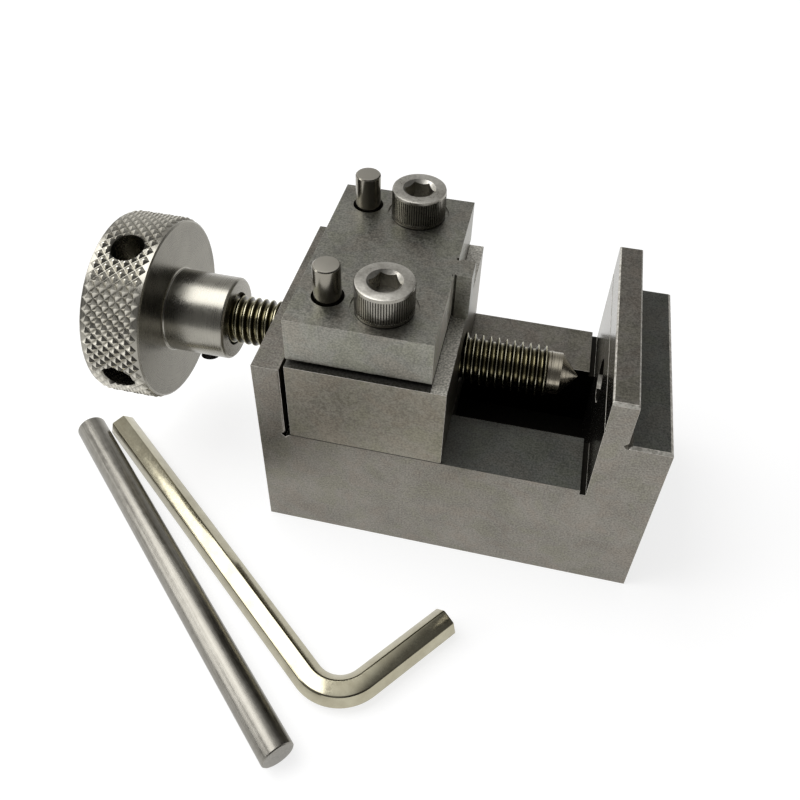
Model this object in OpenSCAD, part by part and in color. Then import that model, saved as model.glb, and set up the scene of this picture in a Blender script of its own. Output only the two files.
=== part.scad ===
// Screw press for pushing links and pins out of watch bracelets.
// The origin is the centre of the base's underside. The lead screw runs along X
// from the knob on the left to the fixed jaw on the right.

/* [Base block] */
// Length of the base along the screw
base_l = 60; // [56:1:72]
// Width of the base and of the sliding jaw
base_w = 35; // [32:1:44]
// Height of the two ledges that carry the jaw
ledge_h = 21.8; // [19:0.1:24]
// Height of the left end wall
wall_h = 35.8; // [35.4:0.1:38]
// Thickness of the left end wall
wall_t = 4.2; // [4:0.1:5]
// Height of the rib that is the fixed jaw
rib_h = 41; // [38:0.1:46]
// Thickness of the rib
rib_t = 3.6; // [2.5:0.1:5]
// Length of the shoulder that backs the rib
shoulder_l = 6.2; // [4:0.1:9]
// Height of the shoulder
shoulder_h = 33; // [31.5:0.1:35]
// Width of the slot between the ledges
slot_w = 14.8; // [13:0.1:16]
// Depth of the slot below the ledges
slot_depth = 12; // [9:0.5:15]
// Width and depth of the relief grooves in the ground corners
relief_w = 0.95; // [0.5:0.05:1.4]
// Height of the fine ground line above the ledges on the rib's pressing face
line_up = 13.6; // [8:0.1:15]
// Width of the fine ground line
line_w = 0.4; // [0.2:0.05:0.8]
// Chamfer on the rib's and the shoulder's edges
edge_chamfer = 0.4; // [0.2:0.05:0.6]

/* [Sliding jaw] */
// Length of the jaw block
jaw_l = 23.5; // [22:0.5:26]
// Gap between the left wall and the jaw when the jaw is fully open
jaw_gap = 0.8; // [0.5:0.1:2]
// Height of the jaw block above the ledges
jaw_h = 14.9; // [13.8:0.1:17]
// Depth of the guide that runs in the slot
guide_h = 6; // [4:0.5:8]
// Height of the seat that carries the press plate
seat_h = 0.7; // [0.4:0.1:1.2]
// Sliding clearance on the ledges and in the slot
slide_fit = 0.05; // [0.03:0.01:0.1]
// Broken edge along the jaw's lower corners
jaw_edge = 0.2; // [0.1:0.05:0.3]
// Distance from the plate's edges to the seat's edges
seat_inset = 1.5; // [1:0.1:1.7]

/* [Press plate] */
// Length of the plate along the screw
plate_l = 21.2; // [20:0.1:23]
// Distance from the jaw's front face to the plate's front face
plate_set = 1; // [0.5:0.1:2]
// Overhang of the plate over the jaw's rear face
plate_over = 0.4; // [0.1:0.1:1]
// Thickness of the plate
plate_t = 7.4; // [6:0.1:9]
// Width of the pressing tongue
tongue_w = 3.9; // [3:0.1:5]
// Length that the tongue stands out from the plate
tongue_l = 2.6; // [1.5:0.1:3]
// Distance from the base's front face to the middle of the tongue
tongue_y = 18.2; // [16:0.1:20]
// Radius of the drilled reliefs in the tongue's two corners
corner_relief = 0.35; // [0.2:0.05:0.5]

/* [Cap screws and dowels] */
// Thread diameter of the cap screws
cap_d = 5; // [4:0.5:6]
// Length of the cap screws under the head
cap_l = 16; // [14:1:18]
// Distance from the jaw's left face to the cap screws
cap_x = 13; // [11.5:0.1:14]
// Distance from the base's front face to the front cap screw
cap_y = 7; // [6.5:0.1:8]
// Distance from the base's rear face to the rear cap screw
cap_back = 4.8; // [4.5:0.1:6]
// Depth of the spot face under each head
spot_depth = 0.3; // [0.1:0.1:0.8]
// Diameter of the dowel pins
dowel_d = 4; // [3:0.5:5]
// Length of the dowel pins
dowel_l = 20; // [18:1:22]
// Height of the dowel pins above the plate
dowel_up = 5.6; // [4:0.1:7]
// Distance from the jaw's left face to the dowel pins
dowel_x = 4.7; // [4:0.1:5.5]
// Distance from the base's front face to the front dowel pin
dowel_y = 7.4; // [6.5:0.1:8]
// Distance from the base's rear face to the rear dowel pin
dowel_back = 4.3; // [3.5:0.1:6]
// Width of the open ring round each dowel pin in the plate
dowel_ring = 0.4; // [0.1:0.05:0.6]

/* [Lead screw] */
// Thread diameter of the lead screw
screw_d = 8; // [7:0.5:8.5]
// Pitch of the lead screw
pitch = 1.25; // [1:0.05:1.5]
// Height of the screw's axis above the ledges
axis_up = 5.7; // [5.2:0.1:6.5]
// Distance from the point of the screw to the rib
tip_gap = 3.3; // [2:0.1:6]
// Diameter of the plain dog
dog_d = 6.6; // [6.5:0.05:6.7]
// Length of the cone point
cone_l = 2.8; // [2:0.1:3.5]
// Length of the plain dog behind the cone point
dog_l = 2; // [1.5:0.1:4]
// Length of the screw that shows between the left wall and the hub
screw_out = 9.4; // [6:0.1:14]
// Radial clearance of the screw in the wall and in the jaw
screw_fit = 0.05; // [0.03:0.01:0.08]
// Diameter of the hole in the rib that the screw's dog lines up with
dog_hole_d = 7; // [6.8:0.1:7.4]
// Diameter of the thrust collar
collar_d = 12; // [11:0.1:12.4]
// Thickness of the thrust collar
collar_t = 1.8; // [1.6:0.1:1.9]
// Diameter of the pin that fixes the collar on the screw
collar_pin_d = 1; // [0.8:0.1:1.1]
// Thickness of the retaining ring
ring_t = 0.8; // [0.6:0.1:0.9]

/* [Knob] */
// Diameter over the knurl of the knob
knob_d = 30.6; // [26:0.1:34]
// Width of the knurled rim
knob_w = 9.7; // [8:0.1:12]
// Distance between the points of the knurl
knurl_pitch = 1.85; // [1.4:0.01:2.4]
// Depth of the knurl
knurl_depth = 0.42; // [0.2:0.01:0.6]
// Width of the plain bevel at the hub's side of the knurl
rim_bevel = 0.45; // [0.2:0.05:0.8]
// Broken edge at the outer side of the knurl
face_edge = 0.15; // [0.1:0.05:0.3]
// Diameter of the hub
hub_d = 13.6; // [12:0.1:16]
// Length of the hub
hub_l = 10.2; // [8:0.1:12]
// Thread diameter of the set screw in the hub
set_d = 3; // [2.5:0.5:4]
// Length of the set screw
set_l = 4; // [3.5:0.5:5]

/* [Loose tools] */
// Diameter of the tommy bar
bar_d = 5; // [4:0.1:5.5]
// Length of the tommy bar
bar_l = 70; // [60:1:90]
// Clearance of the tommy bar in its holes
bar_fit = 0.1; // [0.05:0.05:0.2]
// Width across the flats of the hex key
key_af = 4; // [3:0.5:5]
// Length of the hex key's long arm
key_long = 68.5; // [60:0.5:80]
// Length of the hex key's short arm
key_short = 23.5; // [20:0.5:30]
// Radius of the hex key's bend
key_bend = 6; // [5:0.5:8]

/* [Hidden] */
$fn = 64;

// Places that the sizes lead to, from the left end and the front face of the base
left = -base_l / 2;
front = -base_w / 2;
rib_x = base_l / 2 - shoulder_l - rib_t;
rib_back = rib_x + rib_t;
jaw_x = left + wall_t + jaw_gap;
jaw_top = ledge_h + jaw_h;
seat_top = jaw_top + seat_h;
plate_top = seat_top + plate_t;
axis_z = ledge_h + axis_up;
screw_r = screw_d / 2;
root_r = screw_r - 0.613 * pitch;
shank_end = 1;
tip_x = rib_x - tip_gap;
dog_x = tip_x - cone_l - dog_l;
hub_x = left - screw_out;
rim_x = hub_x - hub_l;
knob_r = knob_d / 2;
plate_w = base_w - plate_set + plate_over;
cap_ys = [front + cap_y, -front - cap_back];
dowel_ys = [front + dowel_y, -front - dowel_back];

// Head of a metric socket cap screw
head_d = 1.7 * cap_d;
head_h = cap_d;
socket_af = 0.8 * cap_d;
head_edge = 0.15;
socket_bevel = 0.25;
tip_bevel = 0.4;
spot_fit = 0.6;
through_fit = 0.25;
thread_fit = 0.05;
pin_fit = 0.02;

// Depth of the tapped holes below the cap screws, and of the gap between seat and tongue
hole_spare = 1;
tongue_root = 1.5;
tongue_gap = 0.5;

// Seat of the thrust collar in the left wall
seat_floor = left + 1;
seat_fit = 0.1;
groove_fit = 0.05;
collar_x = seat_floor + screw_fit;
ring_x = collar_x + collar_t + seat_fit;
ring_out = collar_d / 2 + seat_fit + 0.6;
ring_in = collar_d / 2 - 1;
ring_gap = 2.4;
collar_pin_l = collar_d - 0.4;

// The knob's four holes, turned from the upright towards the front
hole_count = 4;
hole_turn = 13;
hole_depth = 9.5;
hub_bevel = 0.4;
end_recess = 0.5;
set_turn = 165;
set_socket = 1.6;

// Where the loose bar and key lie on the table, by one end and their direction
bar_end = [-67.3, -9.2];
bar_turn = -42.2;
key_end = [-62.3, -7.1];
key_turn = -38.4;

// A block from its lowest corner to its highest
module block(low, high) {
    translate(low) cube(high - low);
}

// A round bar along X
module bar_x(x0, x1, r) {
    translate([x0, 0, axis_z]) rotate([0, 90, 0]) cylinder(h = x1 - x0, r = r);
}

// A cutter for a bevel of size c along Y at a corner of the XZ profile
module bevel_y(x, z, c) {
    translate([x, 0, z]) rotate([0, 45, 0])
        cube([c * sqrt(2), base_w + 2, c * sqrt(2)], center = true);
}

module base_block() {
    color("#7f7c76") difference() {
        rotate([90, 0, 0]) linear_extrude(base_w, center = true) base_profile();
        // Slot between the ledges, and the saw relief that runs into it
        block([left + wall_t, -slot_w / 2, ledge_h - slot_depth],
            [rib_x, slot_w / 2, ledge_h + 1]);
        // Bore for the screw, seat of the thrust collar and groove of the retaining ring
        bar_x(left - 1, left + wall_t + 1, screw_r + screw_fit);
        bar_x(seat_floor, left + wall_t + 1, collar_d / 2 + seat_fit);
        bar_x(ring_x - groove_fit, ring_x + ring_t + groove_fit, ring_out + groove_fit);
        // Hole in line with the screw through the rib and the shoulder
        bar_x(rib_x - 1, base_l / 2 + 1, dog_hole_d / 2);
        // Bevels on the rib's and the shoulder's front and rear top edges
        for (side = [-1, 1]) {
            translate([0, side * base_w / 2, rib_h]) rotate([45, 0, 0])
                cube([base_l + 2, edge_chamfer * sqrt(2), edge_chamfer * sqrt(2)], center = true);
            translate([base_l / 2, side * base_w / 2, shoulder_h]) rotate([45, 0, 0])
                cube([2 * shoulder_l - edge_chamfer, edge_chamfer * sqrt(2),
                    edge_chamfer * sqrt(2)], center = true);
        }
    }
}

// Side view of the base
module base_profile() {
    c = edge_chamfer;
    difference() {
        polygon([
            [left, 0], [base_l / 2, 0], [base_l / 2, shoulder_h - c], [base_l / 2 - c, shoulder_h],
            [rib_back, shoulder_h], [rib_back, rib_h - c / 2], [rib_back - c / 2, rib_h],
            [rib_x + c / 2, rib_h], [rib_x, rib_h - c / 2], [rib_x, ledge_h],
            [left + wall_t, ledge_h], [left + wall_t, wall_h], [left, wall_h]
        ]);
        // Relief grooves at both ends of the ledges and behind the rib
        translate([rib_x - relief_w, ledge_h - relief_w]) square([relief_w, relief_w + 1]);
        translate([left + wall_t, ledge_h]) rotate(45) square(relief_w, center = true);
        translate([rib_back, shoulder_h]) rotate(45) square(relief_w, center = true);
        // Fine ground line on the pressing face
        translate([rib_x, ledge_h + line_up]) square(line_w, center = true);
    }
}

module retaining_ring() {
    // A snap ring with its gap at the bottom
    color("#3a3a3a") difference() {
        bar_x(ring_x, ring_x + ring_t, ring_out);
        bar_x(ring_x - 1, ring_x + ring_t + 1, ring_in);
        translate([ring_x - 1, -ring_gap / 2, axis_z - ring_out - 1])
            cube([ring_t + 2, ring_gap, ring_out]);
    }
}

module sliding_jaw() {
    color("#84817b") difference() {
        union() {
            block([jaw_x, front, ledge_h + slide_fit], [jaw_x + jaw_l, -front, jaw_top]);
            block([jaw_x, -slot_w / 2 + slide_fit, ledge_h - guide_h],
                [jaw_x + jaw_l, slot_w / 2 - slide_fit, ledge_h + 1]);
            // Raised seat for the plate
            block([jaw_x + seat_inset, front + plate_set + seat_inset, jaw_top - 1],
                [jaw_x + plate_l - tongue_root - tongue_gap,
                    front + plate_set + plate_w - seat_inset, seat_top]);
        }
        bar_x(jaw_x - 1, jaw_x + jaw_l + 1, screw_r + screw_fit);
        for (x = [jaw_x, jaw_x + jaw_l]) bevel_y(x, ledge_h + slide_fit, jaw_edge);
        for (y = cap_ys)
            translate([jaw_x + cap_x, y, plate_top - spot_depth - cap_l - hole_spare])
                cylinder(h = cap_l, d = cap_d + 2 * thread_fit);
        for (y = dowel_ys)
            translate([jaw_x + dowel_x, y, plate_top + dowel_up - dowel_l - pin_fit])
                cylinder(h = dowel_l, d = dowel_d + 2 * pin_fit);
    }
}

module press_plate() {
    tongue_mid = front + tongue_y;
    color("#8d8b85") difference() {
        union() {
            block([jaw_x, front + plate_set, seat_top],
                [jaw_x + plate_l, front + plate_set + plate_w, plate_top]);
            // Tongue that reaches down over the jaw's edge
            block([jaw_x + plate_l - tongue_root, tongue_mid - tongue_w / 2, jaw_top],
                [jaw_x + plate_l + tongue_l, tongue_mid + tongue_w / 2, plate_top]);
        }
        for (side = [-1, 1])
            translate([jaw_x + plate_l, tongue_mid + side * tongue_w / 2, jaw_top - 1])
                cylinder(h = plate_top, r = corner_relief);
        for (y = cap_ys) translate([jaw_x + cap_x, y, 0]) {
            cylinder(h = plate_top + 1, d = cap_d + 2 * through_fit);
            translate([0, 0, plate_top - spot_depth]) cylinder(h = 1, d = head_d + 2 * spot_fit);
        }
        for (y = dowel_ys) translate([jaw_x + dowel_x, y, 0])
            cylinder(h = plate_top + 1, d = dowel_d + 2 * dowel_ring);
    }
}

// A socket cap screw standing on z = 0 with its shank below
module cap_screw() {
    bevel = 0.06 * head_d;
    mouth_d = socket_af / cos(30) + 2 * socket_bevel;
    difference() {
        rotate_extrude() polygon([
            [0, -cap_l], [cap_d / 2 - tip_bevel, -cap_l], [cap_d / 2, tip_bevel - cap_l],
            [cap_d / 2, 0], [head_d / 2 - head_edge, 0], [head_d / 2, head_edge],
            [head_d / 2, head_h - bevel], [head_d / 2 - bevel, head_h], [0, head_h]
        ]);
        translate([0, 0, head_h / 2]) cylinder(h = head_h, d = socket_af / cos(30), $fn = 6);
        translate([0, 0, head_h - 2 * socket_bevel]) cylinder(h = 3 * socket_bevel,
            d1 = mouth_d - 4 * socket_bevel, d2 = mouth_d + 2 * socket_bevel);
    }
}

module cap_screw_front() {
    color("#a4a29c") translate([jaw_x + cap_x, cap_ys[0], plate_top - spot_depth]) cap_screw();
}

module cap_screw_rear() {
    color("#a4a29c") translate([jaw_x + cap_x, cap_ys[1], plate_top - spot_depth]) cap_screw();
}

// A dowel pin with bevelled ends
module dowel_pin() {
    bevel = 0.11 * dowel_d;
    rotate_extrude() polygon([
        [0, 0], [dowel_d / 2 - bevel, 0], [dowel_d / 2, bevel], [dowel_d / 2, dowel_l - bevel],
        [dowel_d / 2 - bevel, dowel_l], [0, dowel_l]
    ]);
}

module dowel_pin_front() {
    color("#6d6b67")
        translate([jaw_x + dowel_x, dowel_ys[0], plate_top + dowel_up - dowel_l]) dowel_pin();
}

module dowel_pin_rear() {
    color("#6d6b67")
        translate([jaw_x + dowel_x, dowel_ys[1], plate_top + dowel_up - dowel_l]) dowel_pin();
}

// A right-hand thread along z that fades in and out. Each turn has four rows of points, and
// every column round the screw sits a little higher than the one before it, so the last column
// meets the first one a full pitch up.
module thread(length, crest_r, root_r, step) {
    columns = 16;
    rows = 4 * floor(length / step) - 3;
    crest = step / 8;
    flank = (crest_r - root_r) * tan(30);
    places = [0, step - crest - 2 * flank, step - crest - flank, step - flank];
    function height(row, column) = step * (floor(row / 4) + column / columns) + places[row % 4];
    last = height(rows - 1, columns - 1);
    function rise(h) = max(0, min(1, h / step - 1, (last - h) / step - 1));
    function reach(row, column) = row % 4 < 2 ? root_r
        : root_r + (crest_r - root_r) * rise(height(row, column));
    points = [for (column = [0:columns - 1], row = [0:rows - 1])
        let (a = 360 * column / columns)
        [reach(row, column) * cos(a), reach(row, column) * sin(a), height(row, column)]];
    function at(row, column) = column < columns ? column * rows + row : row + 4;
    walls = [for (column = [0:columns - 1], row = [0:rows - (column < columns - 1 ? 2 : 6)])
        each [[at(row, column), at(row + 1, column + 1), at(row, column + 1)],
            [at(row, column), at(row + 1, column), at(row + 1, column + 1)]]];
    bottom = concat([for (column = [0:columns - 1]) at(0, column)], [4, 3, 2, 1]);
    top = concat([rows - 1], [for (row = [rows - 5:rows - 1]) at(row, columns - 1)],
        [for (column = [columns - 2:-1:1]) at(rows - 1, column)]);
    function fan(ring, middle) = [for (i = [0:len(ring) - 1])
        [ring[i], ring[(i + 1) % len(ring)], middle]];
    polyhedron(
        points = concat(points, [[0, 0, step / 2], [0, 0, last - step / 2]]),
        faces = concat(walls, fan(bottom, columns * rows), fan(top, columns * rows + 1)));
}

module lead_screw() {
    color("#a29a7c") difference() {
        union() {
            bar_x(rim_x - knob_w + end_recess, hub_x - shank_end, screw_r);
            translate([hub_x - 2 * shank_end, 0, axis_z]) rotate([0, 90, 0])
                thread(dog_x - hub_x + 2 * shank_end + pitch, screw_r, root_r, pitch);
            translate([dog_x - pitch / 2, 0, axis_z]) rotate([0, 90, 0])
                rotate_extrude() polygon([
                    [0, 0], [dog_d / 2, 0], [dog_d / 2, pitch / 2 + dog_l],
                    [0, pitch / 2 + dog_l + cone_l]
                ]);
        }
        collar_pin_hole();
    }
}

module thrust_collar() {
    color("#5c5b58") difference() {
        bar_x(collar_x, collar_x + collar_t, collar_d / 2);
        bar_x(collar_x - 1, collar_x + collar_t + 1, screw_r + pin_fit);
        collar_pin_hole();
    }
}

// Cross hole for the collar's pin
module collar_pin_hole() {
    translate([collar_x + collar_t / 2, 0, axis_z])
        cylinder(h = collar_d, d = collar_pin_d + 2 * pin_fit, center = true);
}

module collar_pin() {
    color("#8a8986") translate([collar_x + collar_t / 2, 0, axis_z])
        cylinder(h = collar_pin_l, d = collar_pin_d, center = true);
}

// A bevelled disc with a diamond knurl round it. Points and pits alternate on a half-pitch
// grid, and every cell is split along its pits, so each point is a four-sided pyramid. The
// number of points is even, so each of the knob's holes starts midway between two of them.
module knurled_disc(r, width, step, depth, low_bevel, high_bevel) {
    columns = 4 * round(PI * r / step);
    band = width - low_bevel - high_bevel;
    rows = round(2 * band / step);
    rim = r - depth;
    function reach(row, column) = row < 0 ? rim - low_bevel
        : row > rows ? rim - high_bevel
        : row == 0 || row == rows || (row + column) % 2 == 0 ? rim : r;
    function height(row) = row < 0 ? 0 : row > rows ? width : low_bevel + band * row / rows;
    points = [for (row = [-1:rows + 1], column = [0:columns - 1])
        let (a = 360 * (column + 0.5) / columns)
        [reach(row, column) * cos(a), reach(row, column) * sin(a), height(row)]];
    function at(row, column) = (row + 1) * columns + column % columns;
    walls = [for (row = [-1:rows], column = [0:columns - 1])
        each (row + column) % 2 == 0
            ? [[at(row, column), at(row + 1, column + 1), at(row, column + 1)],
                [at(row, column), at(row + 1, column), at(row + 1, column + 1)]]
            : [[at(row, column), at(row + 1, column), at(row, column + 1)],
                [at(row, column + 1), at(row + 1, column), at(row + 1, column + 1)]]];
    bottom = [for (column = [0:columns - 1]) at(-1, column)];
    top = [for (column = [columns - 1:-1:0]) at(rows + 1, column)];
    polyhedron(points = points, faces = concat(walls, [bottom, top]));
}

module knob() {
    color("#9a9892") difference() {
        translate([rim_x - knob_w, 0, axis_z]) rotate([0, 90, 0]) {
            rotate(hole_turn)
                knurled_disc(knob_r, knob_w, knurl_pitch, knurl_depth, face_edge, rim_bevel);
            rotate_extrude() polygon([
                [0, knob_w / 2], [hub_d / 2, knob_w / 2], [hub_d / 2, knob_w + hub_l - hub_bevel],
                [hub_d / 2 - hub_bevel, knob_w + hub_l], [0, knob_w + hub_l]
            ]);
        }
        bar_x(rim_x - knob_w - 1, hub_x + 1, screw_r + screw_fit);
        for (i = [0:hole_count - 1])
            translate([rim_x - knob_w / 2, 0, axis_z]) rotate([hole_turn + 360 / hole_count * i, 0, 0])
                translate([0, 0, knob_r - hole_depth])
                    cylinder(h = hole_depth + 1, d = bar_d + 2 * bar_fit);
        set_place() cylinder(h = hub_d, d = set_d + 2 * thread_fit);
    }
}

// From the screw's axis out along the set screw
module set_place() {
    translate([hub_x - hub_l / 2, 0, axis_z]) rotate([set_turn, 0, 0]) children();
}

module knob_set_screw() {
    color("#1d1d1c") set_place() translate([0, 0, screw_r + screw_fit]) difference() {
        rotate_extrude() polygon([
            [0, 0], [set_d / 2 - tip_bevel, 0], [set_d / 2, tip_bevel], [set_d / 2, set_l], [0, set_l]
        ]);
        translate([0, 0, set_l - set_socket])
            cylinder(h = 2 * set_socket, d = set_d / 2 / cos(30), $fn = 6);
    }
}

module tommy_bar() {
    bevel = 0.08 * bar_d;
    color("#8f8c85") translate([bar_end[0], bar_end[1], bar_d / 2]) rotate([0, 90, bar_turn])
        rotate_extrude() polygon([
            [0, 0], [bar_d / 2 - bevel, 0], [bar_d / 2, bevel], [bar_d / 2, bar_l - bevel],
            [bar_d / 2 - bevel, bar_l], [0, bar_l]
        ]);
}

// Section of the key, with a flat at the top and at the bottom
module key_section() {
    polygon([for (i = [0:5]) key_af / sqrt(3) * [cos(60 * i), sin(60 * i)]]);
}

module hex_key() {
    long = key_long - key_af / 2 - key_bend;
    short = key_short - key_af / 2 - key_bend;
    color("#b3ad98") translate([key_end[0], key_end[1], key_af / 2]) rotate(key_turn) {
        rotate([90, 0, 90]) linear_extrude(long) key_section();
        translate([long, key_bend, 0]) rotate(-90) rotate_extrude(angle = 90)
            translate([key_bend, 0]) key_section();
        translate([long + key_bend, key_bend, 0]) rotate([-90, 0, 0]) linear_extrude(short)
            key_section();
    }
}

base_block();
retaining_ring();
sliding_jaw();
press_plate();
cap_screw_front();
cap_screw_rear();
dowel_pin_front();
dowel_pin_rear();
lead_screw();
thrust_collar();
collar_pin();
knob();
knob_set_screw();
tommy_bar();
hex_key();
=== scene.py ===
import math

import bpy
from mathutils import Matrix, Vector


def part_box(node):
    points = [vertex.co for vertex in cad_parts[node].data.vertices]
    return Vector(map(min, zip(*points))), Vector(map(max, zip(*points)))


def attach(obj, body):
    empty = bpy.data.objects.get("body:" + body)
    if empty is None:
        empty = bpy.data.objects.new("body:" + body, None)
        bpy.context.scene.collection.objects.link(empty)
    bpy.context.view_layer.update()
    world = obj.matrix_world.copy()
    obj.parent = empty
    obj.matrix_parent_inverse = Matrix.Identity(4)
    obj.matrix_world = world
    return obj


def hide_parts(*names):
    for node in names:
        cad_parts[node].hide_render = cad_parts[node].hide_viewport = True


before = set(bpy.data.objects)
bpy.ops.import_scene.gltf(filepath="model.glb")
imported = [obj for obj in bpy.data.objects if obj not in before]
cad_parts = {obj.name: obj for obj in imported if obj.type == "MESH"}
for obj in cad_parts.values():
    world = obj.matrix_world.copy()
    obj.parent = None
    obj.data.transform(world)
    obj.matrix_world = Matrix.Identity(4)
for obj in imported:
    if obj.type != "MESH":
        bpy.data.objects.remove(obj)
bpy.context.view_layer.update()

# Camera: it looks down on the tool from the front. Its place was solved from the corners
# of the base block, so the picture's frame and perspective are those of the photograph.
MM = 0.001
camera_data = bpy.data.cameras.new("camera")
camera_data.sensor_width = 36.0
camera_data.lens = 37.2855
camera_data.shift_y = -0.075
camera_data.clip_start = 0.005
camera_data.clip_end = 10.0
camera = bpy.data.objects.new("camera", camera_data)
bpy.context.collection.objects.link(camera)
camera.location = (7.2005 * MM, -94.6768 * MM, 120.3481 * MM)
camera.rotation_euler = (math.radians(46.5346), math.radians(-1.3153), math.radians(12.5889))
bpy.context.scene.camera = camera


# Base block: one block of tool steel, with its channel and slot milled and every outer face
# surface ground. The left wall carries the lead screw, and the thin rib is the fixed jaw.
def linear(code):
    """An sRGB hex colour as linear RGBA."""
    channels = [int(code[i:i + 2], 16) / 255 for i in (1, 3, 5)]
    return [c / 12.92 if c <= 0.04045 else ((c + 0.055) / 1.055) ** 2.4 for c in channels] + [1.0]


def add_node(tree, kind, settings=None, links=None):
    """A node with its settings, and with its inputs linked or set by name or number."""
    node = tree.nodes.new(kind)
    for name, value in (settings or {}).items():
        setattr(node, name, value)
    for name, value in (links or {}).items():
        socket = node.inputs[name]
        if isinstance(value, bpy.types.NodeSocket):
            tree.links.new(value, socket)
        else:
            socket.default_value = value
    return node


def new_material(name):
    """An empty material, with its node tree and the Object coordinates that its patterns read."""
    material = bpy.data.materials.new(name)
    material.use_nodes = True
    tree = material.node_tree
    tree.nodes.clear()
    return material, tree, add_node(tree, "ShaderNodeTexCoord").outputs["Object"]


def set_ramp(ramp_node, stops):
    """Colour stops as (place, hex colour) pairs."""
    ramp = ramp_node.color_ramp
    while len(ramp.elements) > 1:
        ramp.elements.remove(ramp.elements[-1])
    ramp.elements[0].position, ramp.elements[0].color = stops[0][0], linear(stops[0][1])
    for place, code in stops[1:]:
        ramp.elements.new(place).color = linear(code)


def only(obj):
    """Leaves obj as the one selected and active object."""
    bpy.ops.object.select_all(action="DESELECT")
    obj.select_set(True)
    bpy.context.view_layer.objects.active = obj


def pick(obj, kind, test):
    """Edit mode, with just those faces or edges of obj selected that pass the test. The test
    is given the face or edge and its points."""
    if obj.mode == "EDIT":
        bpy.ops.object.mode_set(mode="OBJECT")
    only(obj)
    bpy.ops.object.mode_set(mode="EDIT")
    bpy.ops.mesh.select_mode(type=kind)
    bpy.ops.mesh.select_all(action="DESELECT")
    bpy.ops.object.mode_set(mode="OBJECT")
    points = obj.data.vertices
    for item in obj.data.polygons if kind == "FACE" else obj.data.edges:
        item.select = bool(test(item, [points[v].co for v in item.vertices]))
    bpy.ops.object.mode_set(mode="EDIT")


def broken_edge_copy(node, name, edge, materials):
    """A copy of a CAD solid with its facets merged and its sharp edges broken by edge. The
    broken edges take the second material."""
    piece = bpy.data.objects.new(name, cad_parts[node].data.copy())
    bpy.context.collection.objects.link(piece)
    piece.data.materials.clear()
    for material in materials:
        piece.data.materials.append(material)
    only(piece)
    bpy.ops.object.mode_set(mode="EDIT")
    bpy.ops.mesh.select_all(action="SELECT")
    bpy.ops.mesh.remove_doubles(threshold=0.001 * MM)
    bpy.ops.mesh.dissolve_limited(angle_limit=math.radians(0.5))
    bpy.ops.object.mode_set(mode="OBJECT")
    bevel = piece.modifiers.new("broken edge", "BEVEL")
    bevel.width = edge
    bevel.segments = 1
    bevel.limit_method = "ANGLE"
    bevel.angle_limit = math.radians(40)
    bevel.use_clamp_overlap = True
    bevel.material = 1
    bpy.ops.object.modifier_apply(modifier=bevel.name)
    bpy.ops.object.shade_smooth_by_angle(angle=math.radians(15))
    return piece


def ground_steel(name, dark, light, along, seed, low_rough=0.30, high_rough=0.44):
    """Hardened tool steel off a surface grinder: fine lines 0.25 mm apart and 1 mm long, over
    cloudy patches some 6 mm across where the wheel cut a little differently and oil has tinted
    it. The grit's own marks are finer, and are drawn 0.3 mm wide so that they show. The satin
    face spreads its reflection."""
    material, tree, place = new_material(name)
    shifted = add_node(tree, "ShaderNodeMapping", links={
        "Vector": place, "Location": (seed * MM, 2 * seed * MM, -seed * MM)})
    grain_place = add_node(tree, "ShaderNodeMapping", links={
        "Vector": shifted.outputs[0], "Scale": [250.0 if axis == along else 1000.0 for axis in range(3)]})
    lines = add_node(tree, "ShaderNodeTexNoise", links={
        "Vector": grain_place.outputs[0], "Scale": 4.0, "Detail": 2.0, "Roughness": 0.6})
    cloud = add_node(tree, "ShaderNodeTexNoise", links={
        "Vector": shifted.outputs[0], "Scale": 170.0, "Detail": 3.0, "Roughness": 0.55})
    grit = add_node(tree, "ShaderNodeTexNoise", links={
        "Vector": shifted.outputs[0], "Scale": 3600.0, "Detail": 1.0, "Roughness": 0.6})
    blend = add_node(tree, "ShaderNodeMath", {"operation": "MULTIPLY"}, {
        0: cloud.outputs["Fac"], 1: 0.25})
    blend = add_node(tree, "ShaderNodeMath", {"operation": "MULTIPLY_ADD"}, {
        0: lines.outputs["Fac"], 1: 0.20, 2: blend.outputs[0]})
    blend = add_node(tree, "ShaderNodeMath", {"operation": "MULTIPLY_ADD"}, {
        0: grit.outputs["Fac"], 1: 0.55, 2: blend.outputs[0]})
    colour = add_node(tree, "ShaderNodeValToRGB", links={"Fac": blend.outputs[0]})
    set_ramp(colour, [(0.38, dark), (0.62, light)])
    oil = add_node(tree, "ShaderNodeTexNoise", links={
        "Vector": shifted.outputs[0], "Scale": 240.0, "Detail": 2.0, "Roughness": 0.5,
        "Distortion": 0.6})
    tint = add_node(tree, "ShaderNodeValToRGB", links={"Fac": oil.outputs["Fac"]})
    set_ramp(tint, [(0.36, "#fffbf8"), (0.5, "#ffffff"), (0.64, "#fbfcf5")])
    tinted = add_node(tree, "ShaderNodeMix", {"data_type": "RGBA", "blend_type": "MULTIPLY"}, {
        0: 1.0, 6: colour.outputs["Color"], 7: tint.outputs["Color"]})
    rough = add_node(tree, "ShaderNodeMapRange", links={
        "Value": blend.outputs[0], "From Min": 0.35, "From Max": 0.65, "To Min": low_rough,
        "To Max": high_rough})
    bump = add_node(tree, "ShaderNodeBump", links={
        "Height": blend.outputs[0], "Strength": 0.35, "Distance": 0.03 * MM})
    shader = add_node(tree, "ShaderNodeBsdfPrincipled", links={
        "Base Color": tinted.outputs[2], "Metallic": 1.0, "Roughness": rough.outputs[0],
        "Normal": bump.outputs[0]})
    add_node(tree, "ShaderNodeOutputMaterial", links={"Surface": shader.outputs[0]})
    return material


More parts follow.
